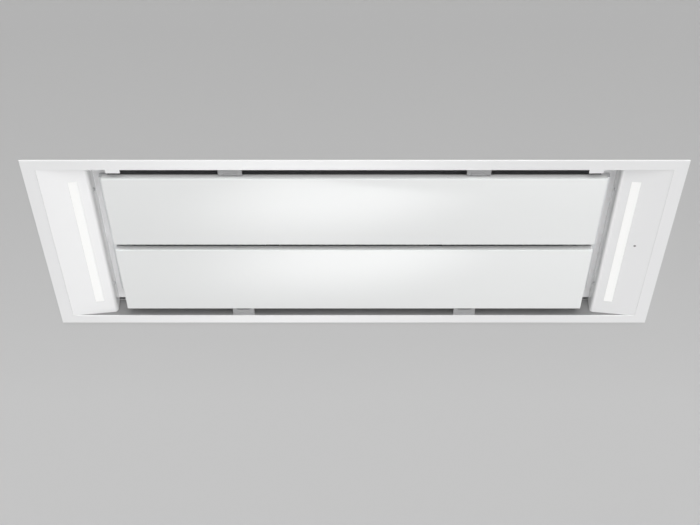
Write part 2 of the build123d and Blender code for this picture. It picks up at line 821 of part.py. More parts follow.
for name, end in ends.items():
    with BuildPart() as blower_side:
        with BuildSketch(Plane.YZ.offset(end * scroll_width / 2)):
            with BuildLine():
                edge_lines = scroll_path()
                Line(edge_lines[-1] @ 1, edge_lines[0] @ 0)
            make_face()
            with Locations((fan_axis_y, fan_axis_height)):
                Circle(inlet_radius, mode=Mode.SUBTRACT)
        extrude(amount=end * scroll_sheet)
        with BuildSketch(Plane.YZ.offset(end * (scroll_width / 2 + scroll_sheet))):
            with Locations((fan_axis_y, fan_axis_height)):
                Circle(inlet_radius + scroll_sheet)
                Circle(inlet_radius, mode=Mode.SUBTRACT)
        extrude(amount=-end * inlet_ring_length)
    finish(blower_side, f"blower_{name}_side")

with BuildPart() as impeller:
    with BuildSketch(Plane.YZ):
        with Locations((fan_axis_y, fan_axis_height)):
            Circle(impeller_radius - impeller_ring_sheet)
            Circle(shaft_radius + shaft_seat_clearance, mode=Mode.SUBTRACT)
    extrude(amount=impeller_disc_sheet / 2, both=True)
    with BuildSketch(Plane.YZ):
        with Locations((fan_axis_y, fan_axis_height)):
            Circle(hub_radius)
            Circle(shaft_radius + shaft_seat_clearance, mode=Mode.SUBTRACT)
    extrude(amount=hub_length / 2, both=True)
    with BuildSketch(Plane.YZ):
        with Locations((fan_axis_y, fan_axis_height)):
            with PolarLocations((impeller_radius + impeller_inner_radius) / 2, impeller_blades):
                Rectangle(impeller_blade_chord, impeller_blade_sheet, rotation=impeller_blade_angle)
    extrude(amount=impeller_width / 2, both=True)
    for end in ends.values():
        with BuildSketch(Plane.YZ.offset(end * impeller_width / 2)):
            with Locations((fan_axis_y, fan_axis_height)):
                Circle(impeller_radius)
                Circle(impeller_inner_radius, mode=Mode.SUBTRACT)
        extrude(amount=-end * impeller_ring_sheet)
finish(impeller, "impeller")

motor_start = scroll_width / 2 + scroll_sheet + motor_from_side
motor_end = motor_start + motor_length + 2 * motor_boss_length

with BuildPart() as motor_shaft:
    with BuildSketch(Plane.YZ.offset(-hub_length / 2)):
        with Locations((fan_axis_y, fan_axis_height)):
            Circle(shaft_radius)
    extrude(amount=hub_length / 2 + motor_end)
finish(motor_shaft, "motor_shaft")

with BuildPart() as motor:
    with BuildSketch(Plane.YZ.offset(motor_start)):
        with Locations((fan_axis_y, fan_axis_height)):
            Circle(motor_boss_radius)
    extrude(amount=motor_end - motor_start)
    with BuildSketch(Plane.YZ.offset(motor_start + motor_boss_length)):
        with Locations((fan_axis_y, fan_axis_height)):
            Circle(motor_radius)
    extrude(amount=motor_length)
    with BuildSketch(Plane.YZ.offset(motor_start + motor_boss_length + motor_length / 2)):
        with Locations((fan_axis_y, fan_axis_height)):
            with PolarLocations(motor_radius, motor_rib_count):
                Rectangle(2 * motor_rib_height, motor_rib_width)
    extrude(amount=motor_length / 2)
    with BuildSketch(Plane.YZ.offset(motor_start)):
        with Locations((fan_axis_y, fan_axis_height)):
            Circle(shaft_radius + shaft_running_clearance)
    extrude(amount=motor_end - motor_start, mode=Mode.SUBTRACT)
finish(motor, "motor")

with BuildPart() as motor_bracket:
    ring_inner = motor_radius + motor_bracket_clearance
    ring_outer = ring_inner + motor_bracket_ring
    bracket_start = motor_start + motor_boss_length + motor_bracket_sheet
    side_face = scroll_width / 2 + scroll_sheet
    arm_length = motor_bracket_reach - ring_inner - motor_bracket_ring / 2
    with BuildSketch(Plane.YZ.offset(bracket_start)):
        with Locations((fan_axis_y, fan_axis_height)):
            Circle(ring_outer)
            with PolarLocations(motor_bracket_reach, motor_bracket_legs, 90):
                Rectangle(arm_length, motor_bracket_arm, align=(Align.MAX, Align.CENTER))
            Circle(ring_inner, mode=Mode.SUBTRACT)
    extrude(amount=motor_bracket_sheet)
    with BuildSketch(Plane.YZ.offset(side_face)):
        with Locations((fan_axis_y, fan_axis_height)):
            with PolarLocations(motor_bracket_reach, motor_bracket_legs, 90):
                Rectangle(motor_bracket_sheet, motor_bracket_arm, align=(Align.MAX, Align.CENTER))
    extrude(amount=bracket_start + motor_bracket_sheet - side_face)
finish(motor_bracket, "motor_bracket")


# ---- Outlet collar and damper ----

collar_inner_radius = collar_radius - collar_sheet
barrel_pitch = damper_barrel_length + damper_barrel_gap
barrel_row = [(order - (damper_barrels - 1) / 2) * barrel_pitch for order in range(damper_barrels)]
flap_barrels = {"near": barrel_row[0::2], "far": barrel_row[1::2]}
flap_radius = collar_inner_radius - flap_edge_gap

with BuildPart() as outlet_collar:
    with BuildSketch(Plane.XY.offset(casing_height)):
        Circle(collar_radius)
        Circle(collar_inner_radius, mode=Mode.SUBTRACT)
    extrude(amount=collar_height)
    with BuildSketch(Plane.XY.offset(casing_height)):
        Circle(collar_radius + collar_flange_width)
        Circle(collar_inner_radius, mode=Mode.SUBTRACT)
        with Locations(*collar_screw_places()):
            Circle(screw_hole_radius, mode=Mode.SUBTRACT)
    extrude(amount=collar_sheet)
    with BuildSketch(Plane.XY.offset(damper_axis_height - flap_sheet / 2 - damper_seat_gap)):
        Circle(collar_inner_radius)
        Circle(collar_inner_radius - damper_seat_width, mode=Mode.SUBTRACT)
    extrude(amount=-damper_seat_sheet)
    with BuildSketch(Plane.YZ):
        with Locations((0, damper_axis_height)):
            Circle(damper_pin_radius + damper_pin_clearance)
    extrude(amount=collar_radius, both=True, mode=Mode.SUBTRACT)
finish(outlet_collar, "outlet_collar")

with BuildPart() as damper_pin:
    with BuildSketch(Plane.YZ):
        with Locations((0, damper_axis_height)):
            Circle(damper_pin_radius)
    extrude(amount=collar_radius, both=True)
finish(damper_pin, "damper_pin")

for name, side in long_sides.items():
    with BuildPart() as damper_flap:
        with BuildSketch(Plane.XY.offset(damper_axis_height - flap_sheet / 2)):
            Circle(flap_radius)
            with Locations((0, side * flap_from_pin)):
                Rectangle(
                    2 * flap_radius,
                    2 * flap_radius,
                    align=(Align.CENTER, Align.MAX if side > 0 else Align.MIN),
                    mode=Mode.SUBTRACT,
                )
            for place in flap_barrels[name]:
                with Locations((place, 0)):
                    Rectangle(
                        damper_barrel_length,
                        2 * flap_from_pin,
                        align=(Align.CENTER, Align.MIN if side > 0 else Align.MAX),
                    )
        extrude(amount=flap_sheet)
        for place in flap_barrels[name]:
            with BuildSketch(Plane.YZ.offset(place)):
                with Locations((0, damper_axis_height)):
                    Circle(damper_barrel_radius)
            extrude(amount=damper_barrel_length / 2, both=True)
        with BuildSketch(Plane.YZ):
            with Locations((0, damper_axis_height)):
                Circle(damper_pin_radius + damper_pin_clearance)
        extrude(amount=collar_radius, both=True, mode=Mode.SUBTRACT)
    finish(damper_flap, f"{name}_damper_flap")


# ---- Electrics on the filter plate ----

with BuildPart() as control_box:
    with BuildSketch(Plane.XY.offset(filter_plate_top)):
        with Locations((control_box_at, 0)):
            Rectangle(control_box_length, control_box_depth)
    extrude(amount=control_box_height)
    box_corners = control_box.edges().filter_by(Axis.Z)
    fillet(box_corners, radius=control_box_wall)
    with BuildSketch(Plane.XY.offset(filter_plate_top + control_box_wall)):
        with Locations((control_box_at, 0)):
            Rectangle(control_box_length - 2 * control_box_wall, control_box_depth - 2 * control_box_wall)
    extrude(amount=control_box_height - control_box_wall, mode=Mode.SUBTRACT)
    with BuildSketch(Plane.XY.offset(filter_plate_top + control_box_wall)):
        with Locations((control_box_at, 0)):
            with GridLocations(board_length - 2 * board_margin, board_depth - 2 * board_margin, 2, 2):
                Circle(post_radius)
    extrude(amount=post_height)
finish(control_box, "control_box")

with BuildPart() as control_box_lid:
    lid_bottom = filter_plate_top + control_box_height
    lip_length = control_box_length - 2 * (control_box_wall + lid_lip_gap)
    lip_depth = control_box_depth - 2 * (control_box_wall + lid_lip_gap)
    with BuildSketch(Plane.XY.offset(lid_bottom)):
        with Locations((control_box_at, 0)):
            RectangleRounded(control_box_length, control_box_depth, control_box_wall)
    extrude(amount=lid_sheet)
    with BuildSketch(Plane.XY.offset(lid_bottom)):
        with Locations((control_box_at, 0)):
            Rectangle(lip_length, lip_depth)
            Rectangle(lip_length - 2 * lid_sheet, lip_depth - 2 * lid_sheet, mode=Mode.SUBTRACT)
    extrude(amount=-lid_lip)
finish(control_box_lid, "control_box_lid")

board_bottom = filter_plate_top + control_box_wall + post_height
board_top = board_bottom + board_sheet

with BuildPart() as circuit_board:
    with BuildSketch(Plane.XY.offset(board_bottom)):
        with Locations((control_box_at, 0)):
            Rectangle(board_length, board_depth)
    extrude(amount=board_sheet)
    with BuildSketch(Plane.XY.offset(board_top)):
        with Locations((control_box_at + relay_from_middle, relay_row_shift)):
            with GridLocations(1, relay_pitch, 1, relay_count):
                Rectangle(relay_length, relay_depth)
    extrude(amount=relay_height)
    with BuildSketch(Plane.XY.offset(board_top)):
        with Locations((control_box_at + transformer_from_middle, transformer_across)):
            Rectangle(transformer_length, transformer_depth)
    extrude(amount=transformer_height)
    with BuildSketch(Plane.XY.offset(board_top)):
        with Locations((control_box_at - capacitor_from_middle, capacitor_across)):
            with GridLocations(capacitor_pitch, 1, 2, 1):
                Circle(capacitor_radius)
    extrude(amount=capacitor_height)
finish(circuit_board, "circuit_board")

with BuildPart() as terminal_block:
    with BuildSketch(Plane.XY.offset(board_top)):
        with Locations((control_box_at - terminal_from_middle, 0)):
            Rectangle(terminal_length, terminal_depth)
    extrude(amount=terminal_height)
    way_pitch = terminal_depth / terminal_ways
    with BuildSketch(Plane.XY.offset(board_top + terminal_height)):
        with Locations((control_box_at - terminal_from_middle, 0)):
            with GridLocations(terminal_length / 2, way_pitch, 2, terminal_ways):
                Circle(terminal_hole_radius)
    extrude(amount=-terminal_height / 2, mode=Mode.SUBTRACT)
finish(terminal_block, "terminal_block")

with BuildPart() as cable_gland:
    casing_face = casing_length / 2
    wall_inside = casing_face - casing_sheet
    with BuildSketch(end_plane(-1, wall_inside - gland_nut_length, gland_height)):
        Circle(gland_thread_radius)
    extrude(amount=gland_nut_length + casing_sheet)
    with BuildSketch(end_plane(-1, casing_face, gland_height)):
        RegularPolygon(gland_hex_across / 2, 6, major_radius=False)
    extrude(amount=gland_hex_length)
    with BuildSketch(end_plane(-1, casing_face + gland_hex_length, gland_height)):
        Circle(gland_cap_radius)
    extrude(amount=gland_cap_length, taper=gland_cap_taper)
    with BuildSketch(end_plane(-1, wall_inside - gland_nut_length, gland_height)):
        RegularPolygon(gland_hex_across / 2, 6, major_radius=False)
    extrude(amount=gland_nut_length)
    with BuildSketch(end_plane(-1, wall_inside - gland_nut_length, gland_height)):
        Circle(gland_bore_radius)
    extrude(amount=casing_sheet + gland_nut_length + gland_hex_length + gland_cap_length, mode=Mode.SUBTRACT)
finish(cable_gland, "cable_gland")

with BuildPart() as led_driver:
    with BuildSketch(Plane.XY.offset(filter_plate_top)):
        with Locations((driver_at, 0)):
            Rectangle(driver_length, driver_depth)
    extrude(amount=driver_height)
    driver_edges = led_driver.faces().sort_by(Axis.Z)[-1].edges()
    chamfer(driver_edges, length=driver_foot_sheet)
    with BuildSketch(Plane.XY.offset(filter_plate_top)):
        with Locations((driver_at, 0)):
            Rectangle(driver_length, driver_depth + 2 * driver_foot)
    extrude(amount=driver_foot_sheet)
finish(led_driver, "led_driver")
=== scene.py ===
import json
import math
import bmesh
import bpy
from mathutils import Matrix


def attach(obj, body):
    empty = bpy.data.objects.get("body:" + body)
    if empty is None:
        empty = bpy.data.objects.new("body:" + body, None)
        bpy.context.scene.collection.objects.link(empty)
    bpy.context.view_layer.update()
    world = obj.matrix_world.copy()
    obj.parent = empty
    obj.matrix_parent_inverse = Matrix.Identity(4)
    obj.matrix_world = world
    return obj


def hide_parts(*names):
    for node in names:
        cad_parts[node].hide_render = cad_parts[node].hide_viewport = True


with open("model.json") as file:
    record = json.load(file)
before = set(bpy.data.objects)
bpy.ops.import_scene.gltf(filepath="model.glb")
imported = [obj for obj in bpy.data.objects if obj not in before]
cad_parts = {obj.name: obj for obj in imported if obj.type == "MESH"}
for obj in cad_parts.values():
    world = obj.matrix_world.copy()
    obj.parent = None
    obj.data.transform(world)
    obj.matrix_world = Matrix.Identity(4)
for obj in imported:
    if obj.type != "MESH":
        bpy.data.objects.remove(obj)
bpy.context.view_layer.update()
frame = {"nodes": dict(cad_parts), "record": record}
nodes = frame["nodes"]
bodies = frame["record"]["behaviour"]["bodies"]
bodyOf = {node: body for body, names in bodies.items() for node in names}
scene = bpy.context.scene
print("frame loaded:", len(nodes), "nodes")


# camera, as the photograph was taken: below the near long side, looking up and away

view = {"lens": 73.2, "place": (-0.008, -2.149, -1.696), "lookUp": 37.68}


def makeCamera():
    data = bpy.data.cameras.new("photo_camera")
    data.lens = view["lens"]
    camera = bpy.data.objects.new("photo_camera", data)
    camera.location = view["place"]
    camera.rotation_euler = (math.radians(90 + view["lookUp"]), 0, 0)
    scene.collection.objects.link(camera)
    scene.camera = camera


# shader helpers

def addNode(tree, kind, settings=None, **values):
    node = tree.nodes.new(kind)
    for name, value in (settings or {}).items():
        setattr(node, name, value)
    for name, value in values.items():
        node.inputs[name].default_value = value
    return node


def newMaterial(name):
    material = bpy.data.materials.new(name)
    material.use_nodes = True
    tree = material.node_tree
    return material, tree, tree.nodes["Principled BSDF"]


def surfacePoint(tree, stretch=(1, 1, 1)):
    place = addNode(tree, "ShaderNodeTexCoord")
    mapping = addNode(tree, "ShaderNodeMapping", Scale=stretch)
    tree.links.new(place.outputs["Object"], mapping.inputs["Vector"])
    return mapping.outputs["Vector"]


def noise(tree, scale, detail, stretch=(1, 1, 1)):
    node = addNode(tree, "ShaderNodeTexNoise", Scale=scale, Detail=detail)
    tree.links.new(surfacePoint(tree, stretch), node.inputs["Vector"])
    return node.outputs["Fac"]


def cells(tree, scale):
    node = addNode(tree, "ShaderNodeTexVoronoi", Scale=scale, Randomness=1.0)
    tree.links.new(surfacePoint(tree), node.inputs["Vector"])
    return node


def spread(tree, source, low, high, lowAt=0.3, highAt=0.7, smooth=False):
    kind = "SMOOTHSTEP" if smooth else "LINEAR"
    node = addNode(tree, "ShaderNodeMapRange", {"interpolation_type": kind})
    for index, value in enumerate((lowAt, highAt, low, high), start=1):
        node.inputs[index].default_value = value
    tree.links.new(source, node.inputs["Value"])
    return node.outputs["Result"]


def combine(tree, operation, first, second):
    node = addNode(tree, "ShaderNodeMath", {"operation": operation})
    for socket, value in zip(node.inputs, (first, second)):
        if isinstance(value, float):
            socket.default_value = value
        else:
            tree.links.new(value, socket)
    return node.outputs["Value"]


def mixShares(tree, first, firstShare, second, secondShare):
    parts = [combine(tree, "MULTIPLY", source, share)
             for source, share in ((first, firstShare), (second, secondShare))]
    return combine(tree, "ADD", *parts)


def blendColors(tree, source, first, second):
    node = addNode(tree, "ShaderNodeMix", {"data_type": "RGBA"})
    node.inputs["A"].default_value = (*first, 1)
    node.inputs["B"].default_value = (*second, 1)
    tree.links.new(source, node.inputs["Factor"])
    return node.outputs["Result"]


def tint(tree, shader, source, color, shades):  # the colour, from its darker to its lighter shade
    low, high = (tuple(min(channel * amount, 1.0) for channel in color) for amount in shades)
    tree.links.new(blendColors(tree, source, low, high), shader.inputs["Base Color"])


def roughen(tree, shader, source, low, high, lowAt=0.3, highAt=0.7):
    tree.links.new(spread(tree, source, low, high, lowAt, highAt), shader.inputs["Roughness"])


def addBump(tree, shader, height, distance, strength=1.0):
    node = addNode(tree, "ShaderNodeBump", Distance=distance, Strength=strength)
    tree.links.new(height, node.inputs["Height"])
    tree.links.new(node.outputs["Normal"], shader.inputs["Normal"])


# finishes: each noise is given by its scale, its detail and its stretch

powder = {"cloud": (9, 4), "shades": (0.985, 1.01), "patches": (60, 2), "smoother": 0.04,
          "rougher": 0.05, "finePeel": (850, 2), "coarsePeel": (210, 2), "peelDepth": 0.00002}


def powderCoat(name, color, roughness):
    material, tree, shader = newMaterial(name)
    tint(tree, shader, noise(tree, *powder["cloud"]), color, powder["shades"])
    patches = noise(tree, *powder["patches"])
    roughen(tree, shader, patches, roughness - powder["smoother"], roughness + powder["rougher"])
    peel = combine(tree, "ADD", noise(tree, *powder["finePeel"]), noise(tree, *powder["coarsePeel"]))
    addBump(tree, shader, peel, powder["peelDepth"])
    return material


pane = {"ior": 1.52, "cloud": (5, 3), "shades": (0.99, 1), "smudges": (14, 5),
        "wipes": (4, 6, (1, 7, 7)), "roughness": (0.06, 0.12), "waves": (12, 1), "waveDepth": 0.00003}


def lacqueredGlass(name, color):
    material, tree, shader = newMaterial(name)
    shader.inputs["IOR"].default_value = pane["ior"]
    tint(tree, shader, noise(tree, *pane["cloud"]), color, pane["shades"])
    wiped = combine(tree, "MAXIMUM", noise(tree, *pane["smudges"]), noise(tree, *pane["wipes"]))
    roughen(tree, shader, wiped, *pane["roughness"])
    addBump(tree, shader, noise(tree, *pane["waves"]), pane["waveDepth"])
    return material


paneEdge = {"grind": (1, 3, (40, 40, 2600)), "shades": (0.94, 1.05), "patches": (220, 3),
            "roughness": (0.16, 0.3), "grindDepth": 0.00001}


def groundGlassEdge(name, color):
    material, tree, shader = newMaterial(name)
    shader.inputs["IOR"].default_value = pane["ior"]
    grind = noise(tree, *paneEdge["grind"])
    tint(tree, shader, grind, color, paneEdge["shades"])
    roughen(tree, shader, noise(tree, *paneEdge["patches"]), *paneEdge["roughness"])
    addBump(tree, shader, grind, paneEdge["grindDepth"])
    return material


satin = {"metallic": 0.12, "lines": (1, 4, (10, 700, 700)), "cloud": (7, 4), "lineShare": 0.6,
         "cloudShare": 0.4, "shades": (0.86, 1.12), "roughness": (0.36, 0.50), "lineDepth": 0.00001}


def satinSheet(name, color):
    material, tree, shader = newMaterial(name)
    shader.inputs["Metallic"].default_value = satin["metallic"]
    lines = noise(tree, *satin["lines"])
    cloud = noise(tree, *satin["cloud"])
    tone = mixShares(tree, lines, satin["lineShare"], cloud, satin["cloudShare"])
    tint(tree, shader, tone, color, satin["shades"])
    roughen(tree, shader, cloud, *satin["roughness"])
    addBump(tree, shader, lines, satin["lineDepth"])
    return material


brushed = {"along": 12, "across": 900, "detail": 4, "shades": (0.88, 1.08), "smear": (18, 4),
           "smoother": 0.05, "rougher": 0.09, "lineDepth": 0.00001}


def brushedMetal(name, color, roughness, direction, metallic=1.0):
    material, tree, shader = newMaterial(name)
    shader.inputs["Metallic"].default_value = metallic
    stretch = [brushed["along"] if axis == direction else brushed["across"] for axis in "xyz"]
    lines = noise(tree, 1, brushed["detail"], stretch)
    smear = noise(tree, *brushed["smear"])
    tint(tree, shader, lines, color, brushed["shades"])
    roughen(tree, shader, smear, roughness - brushed["smoother"], roughness + brushed["rougher"])
    addBump(tree, shader, lines, brushed["lineDepth"])
    return material


spangle = {"metallic": 0.85, "flowers": 105, "feather": (900, 3, (1, 3, 1)), "flowerShare": 0.75,
           "featherShare": 0.25, "shades": (0.84, 1.12), "roughness": (0.32, 0.52),
           "pits": (420, 3), "pitDepth": 0.00002}


def galvanisedSheet(name, color):
    material, tree, shader = newMaterial(name)
    shader.inputs["Metallic"].default_value = spangle["metallic"]
    flowers = addNode(tree, "ShaderNodeSeparateColor")
    tree.links.new(cells(tree, spangle["flowers"]).outputs["Color"], flowers.inputs["Color"])
    feather = noise(tree, *spangle["feather"])
    tone = mixShares(tree, flowers.outputs["Red"], spangle["flowerShare"],
                     feather, spangle["featherShare"])
    tint(tree, shader, tone, color, spangle["shades"])
    roughen(tree, shader, flowers.outputs["Green"], *spangle["roughness"], 0, 1)
    addBump(tree, shader, noise(tree, *spangle["pits"]), spangle["pitDepth"])
    return material


plastic = {"cloud": (30, 4), "shades": (0.9, 1.12), "patches": (90, 3), "smoother": 0.06,
           "rougher": 0.08, "spark": 1300, "sparkDepth": 0.00004, "sparkStrength": 0.6}


def mouldedPlastic(name, color, roughness=0.42):
    material, tree, shader = newMaterial(name)
    tint(tree, shader, noise(tree, *plastic["cloud"]), color, plastic["shades"])
    patches = noise(tree, *plastic["patches"])
    roughen(tree, shader, patches, roughness - plastic["smoother"], roughness + plastic["rougher"])
    spark = cells(tree, plastic["spark"])
    addBump(tree, shader, spark.outputs["Distance"], plastic["sparkDepth"], plastic["sparkStrength"])
    return material


sand = {"metallic": 0.9, "fineGrain": (700, 3), "coarseGrain": (140, 3), "cloud": (45, 5),
        "shades": (0.8, 1.1), "roughness": (0.42, 0.62), "grainRange": (0.8, 1.2),
        "grainDepth": 0.00006}


def sandCasting(name, color):
    material, tree, shader = newMaterial(name)
    shader.inputs["Metallic"].default_value = sand["metallic"]
    grain = combine(tree, "ADD", noise(tree, *sand["fineGrain"]), noise(tree, *sand["coarseGrain"]))
    tint(tree, shader, noise(tree, *sand["cloud"]), color, sand["shades"])
    roughen(tree, shader, grain, *sand["roughness"], *sand["grainRange"])
    addBump(tree, shader, grain, sand["grainDepth"])
    return material


frost = {"roughness": 0.45, "haze": (130, 3), "shades": (0.99, 1), "hazeDepth": 0.00002,
         "glowCloud": (12, 2), "warm": (1.0, 0.99, 0.96), "cool": (0.97, 0.99, 1.0)}


def frostedCover(name, color, glow):
    material, tree, shader = newMaterial(name)
    shader.inputs["Roughness"].default_value = frost["roughness"]
    shader.inputs["Emission Strength"].default_value = glow
    haze = noise(tree, *frost["haze"])
    tint(tree, shader, haze, color, frost["shades"])
    light = blendColors(tree, noise(tree, *frost["glowCloud"]), frost["warm"], frost["cool"])
    tree.links.new(light, shader.inputs["Emission Color"])
    addBump(tree, shader, haze, frost["hazeDepth"])
    return material


smoked = {"roughness": 0.08, "cloud": (300, 2), "shades": (0.7, 1.3)}


def darkLens(name, color):
    material, tree, shader = newMaterial(name)
    shader.inputs["Roughness"].default_value = smoked["roughness"]
    tint(tree, shader, noise(tree, *smoked["cloud"]), color, smoked["shades"])
    return material


tracks = {"roughness": 0.28, "offset": 0.35, "length": 0.011, "pitch": 0.0024, "gap": 0.0004,
          "board": (0.015, 0.10, 0.04), "lines": (0.04, 0.19, 0.08), "depth": 0.00003}


def circuitBoard(name):
    material, tree, shader = newMaterial(name)
    shader.inputs["Roughness"].default_value = tracks["roughness"]
    rows = addNode(tree, "ShaderNodeTexBrick", {"offset": tracks["offset"]}, Scale=1.0)
    for socket, value in (("Brick Width", "length"), ("Row Height", "pitch"), ("Mortar Size", "gap")):
        rows.inputs[socket].default_value = tracks[value]
    tree.links.new(surfacePoint(tree), rows.inputs["Vector"])
    color = blendColors(tree, rows.outputs["Fac"], tracks["board"], tracks["lines"])
    tree.links.new(color, shader.inputs["Base Color"])
    addBump(tree, shader, rows.outputs["Fac"], tracks["depth"])
    return material


def makeFinishes():
    return {
        "rimCoat": powderCoat("white_powder_coat_gloss", (0.80, 0.80, 0.805), 0.17),
        "wallCoat": powderCoat("white_powder_coat_satin", (0.90, 0.90, 0.905), 0.14),
        "trayCoat": powderCoat("white_coated_sheet", (0.80, 0.80, 0.80), 0.38),
        # the rails' grey coat is darkened as painted shade, so the recess behind the near gap reads
        # dark
        "railCoatAndShade": powderCoat("grey_rail_coat_and_painted_shade", (0.18, 0.18, 0.185), 0.5),
        # the hinges' grey coat is partly painted shade: darker so they read as shaded inside the gaps
        "hingeCoatAndShade": powderCoat("grey_hinge_coat_and_painted_shade", (0.32, 0.32, 0.325), 0.38),
        "glass": lacqueredGlass("white_back_lacquered_glass", (0.80, 0.81, 0.807)),
        "glassEdge": groundGlassEdge("ground_glass_edge", (0.76, 0.79, 0.78)),
        "cover": frostedCover("frosted_light_cover", (0.86, 0.86, 0.85), 0.10),
        "lampHousing": brushedMetal("lamp_housing_aluminium", (0.72, 0.73, 0.74), 0.35, "y"),
        "lightBoard": powderCoat("white_light_board", (0.82, 0.82, 0.78), 0.5),
        "lens": darkLens("receiver_lens", (0.20, 0.185, 0.19)),
        # the long walls' grey is partly painted shade: kept dark so the near and far gaps read dark
        "longWallAndShade": satinSheet("satin_grey_sheet_and_painted_shade", (0.23, 0.23, 0.23)),
        "zinc": brushedMetal("bright_zinc", (0.72, 0.73, 0.74), 0.22, "z"),
        "dullZinc": sandCasting("dull_zinc", (0.50, 0.50, 0.51)),
        "galvanised": galvanisedSheet("galvanised_sheet", (0.60, 0.62, 0.64)),
        "catch": mouldedPlastic("dark_catch_plastic", (0.03, 0.03, 0.032)),
        "filter": brushedMetal("filter_aluminium", (0.72, 0.73, 0.74), 0.42, "x", metallic=0.4),
        "latch": mouldedPlastic("dark_latch_plastic", (0.05, 0.05, 0.052)),
        "blower": mouldedPlastic("black_blower_plastic", (0.022, 0.022, 0.024)),
        "impeller": mouldedPlastic("dark_impeller_plastic", (0.05, 0.05, 0.053)),
        "casting": sandCasting("die_cast_aluminium", (0.48, 0.49, 0.50)),
        "collar": mouldedPlastic("black_collar_plastic", (0.028, 0.028, 0.03)),
        "flap": brushedMetal("stamped_flap_aluminium", (0.70, 0.71, 0.72), 0.3, "x"),
        "box": mouldedPlastic("grey_box_plastic", (0.22, 0.225, 0.23)),
        "board": circuitBoard("green_circuit_board"),
        "terminal": mouldedPlastic("off_white_terminal_plastic", (0.75, 0.74, 0.70)),
        "nylon": mouldedPlastic("black_nylon", (0.02, 0.02, 0.022), 0.5),
        "driver": mouldedPlastic("white_driver_plastic", (0.75, 0.75, 0.74)),
    }


finishes = makeFinishes()
print("finishes made:", len(finishes))


def dress(finish, *names):
    for name in names:
        for place in nodes[name].material_slots:
            place.link = "OBJECT"
            place.material = finishes[finish]


# mesh helpers; the angles are in degrees

smoothing = {"sharpAngle": 38, "easeAngle": 40, "merge": 0.000002, "flat": 0.4}


def addMesh(name, mesh, *finishNames):
    data = bpy.data.meshes.new(name)
    mesh.to_mesh(data)
    mesh.free()
    data.shade_smooth()
    data.set_sharp_from_angle(angle=math.radians(smoothing["sharpAngle"]))
    for finish in finishNames:
        data.materials.append(finishes[finish])
    thing = bpy.data.objects.new(name, data)
    scene.collection.objects.link(thing)
    return thing


def roundEdges(mesh, edges, width, steps):
    bmesh.ops.bevel(mesh, geom=edges, offset=width, offset_type="OFFSET", segments=steps, profile=0.5,
                    affect="EDGES", clamp_overlap=False, material=-1)


def standFor(piece, *names):
    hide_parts(*names)
    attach(piece, bodyOf[names[0]])


def easedCopy(name, width, finish, steps=2):  # the CAD form with its sharp edges rounded off
    flat, least = (math.radians(smoothing[key]) for key in ("flat", "easeAngle"))
    mesh = bmesh.new()
    mesh.from_mesh(nodes[name].data)
    bmesh.ops.remove_doubles(mesh, verts=mesh.verts, dist=smoothing["merge"])
    bmesh.ops.dissolve_limit(mesh, angle_limit=flat, verts=mesh.verts, edges=mesh.edges)
    bmesh.ops.recalc_face_normals(mesh, faces=mesh.faces)
    closed = [edge for edge in mesh.edges if len(edge.link_faces) == 2]
    roundEdges(mesh, [edge for edge in closed if edge.calc_face_angle() > least], width, steps)
    standFor(addMesh(name + "_eased", mesh, finish), name)


# panels: lacquered glass with ground edges, on white coated trays

panel = {"length": 0.920, "depth": 0.191, "across": 0.1045, "thickness": 0.004, "corner": 0.0012,
         "arris": 0.0005, "steps": 3, "flatFrom": 0.95, "trayEase": 0.0006, "traySteps": 3,
         "hingeEase": 0.0004}


def riseOf(edge):
    return abs(edge.verts[0].co.z - edge.verts[1].co.z)


def makePanelGlass(side, sign):
    mesh = bmesh.new()
    thick = panel["thickness"]
    bmesh.ops.create_cube(mesh, size=1)
    bmesh.ops.scale(mesh, vec=(panel["length"], panel["depth"], thick), verts=mesh.verts)
    bmesh.ops.translate(mesh, vec=(0, sign * panel["across"], thick / 2), verts=mesh.verts)
    uprights = [edge for edge in mesh.edges if riseOf(edge) > thick / 2]
    roundEdges(mesh, uprights, panel["corner"], panel["steps"])
    level = [edge for edge in mesh.edges if riseOf(edge) < thick / 2]
    roundEdges(mesh, level, panel["arris"], panel["steps"])
    for face in mesh.faces:
        face.material_index = 1 if abs(face.normal.z) < panel["flatFrom"] else 0
    name = side + "_panel_glass"
    standFor(addMesh(name + "_ground", mesh, "glass", "glassEdge"), name)


for side, sign in (("near", -1), ("far", 1)):
    makePanelGlass(side, sign)
    easedCopy(side + "_panel_tray", panel["trayEase"], "trayCoat", panel["traySteps"])
    easedCopy(side + "_hinge_leaves", panel["hingeEase"], "hingeCoatAndShade")
easedCopy("hinge_brackets", panel["hingeEase"], "hingeCoatAndShade")
print("panels and hinges made")


# filters: a pleated lattice of stretched metal in each frame

lattice = {"length": 0.2909, "depth": 0.3266, "pitch": 0.31733, "low": 0.0317, "high": 0.0382,
           "folds": 22, "cellsAlong": 44, "cellsAcross": 40, "strand": 0.0007, "sheet": 0.0005}
filterFrame = {"ease": 0.0006, "latchEase": 0.0005, "latchSteps": 3}


